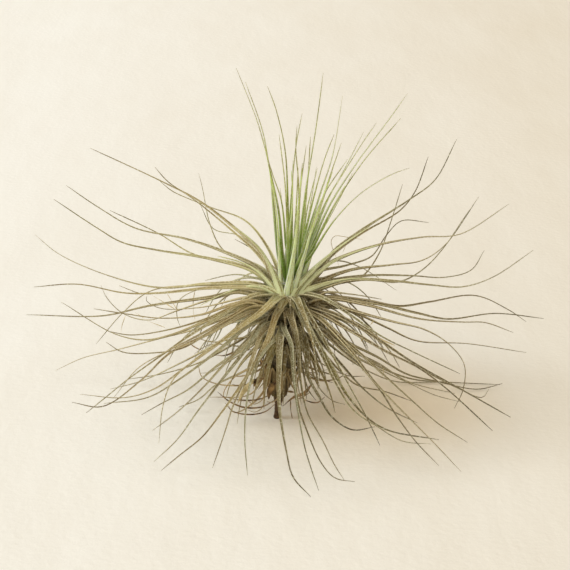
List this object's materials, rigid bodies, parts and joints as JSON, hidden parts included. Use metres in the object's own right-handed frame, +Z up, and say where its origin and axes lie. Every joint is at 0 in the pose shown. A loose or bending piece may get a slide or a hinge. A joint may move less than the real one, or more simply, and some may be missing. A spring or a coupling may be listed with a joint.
{
  "type": "air plant",
  "caption": "Mature air plant with long, fine, channelled leaves round a short woody stem: upright green heart, arching crown and drooping older leaves that rest on the surface.",
  "frame": {"origin": "middle of the stem's flat cut end, on the surface that the plant stands on", "axes": "+Z up, -Y towards the front of the plant, +X to its right"},
  "size_m": [0.2069, 0.1875, 0.147],
  "materials": {
    "stem": "rough, dark, dried bark",
    "heart_leaves": "young leaf, satin, silver-green at the base",
    "crown_leaves": "leaf with a matt silver bloom",
    "shoulder_leaves": "matt olive leaf",
    "skirt_leaves": "matt grey-brown old leaf",
    "under_leaves": "matt, dull, dead leaf",
    "dry_leaves": "matt, papery, dried leaf"
  },
  "bodies": {
    "root": {"stem": "stem", "heart_leaves": "heart_leaves", "crown_leaves": "crown_leaves", "shoulder_leaves": "shoulder_leaves", "skirt_leaves": "skirt_leaves", "under_leaves": "under_leaves", "dry_leaves": "dry_leaves"}
  },
  "joints": []
}
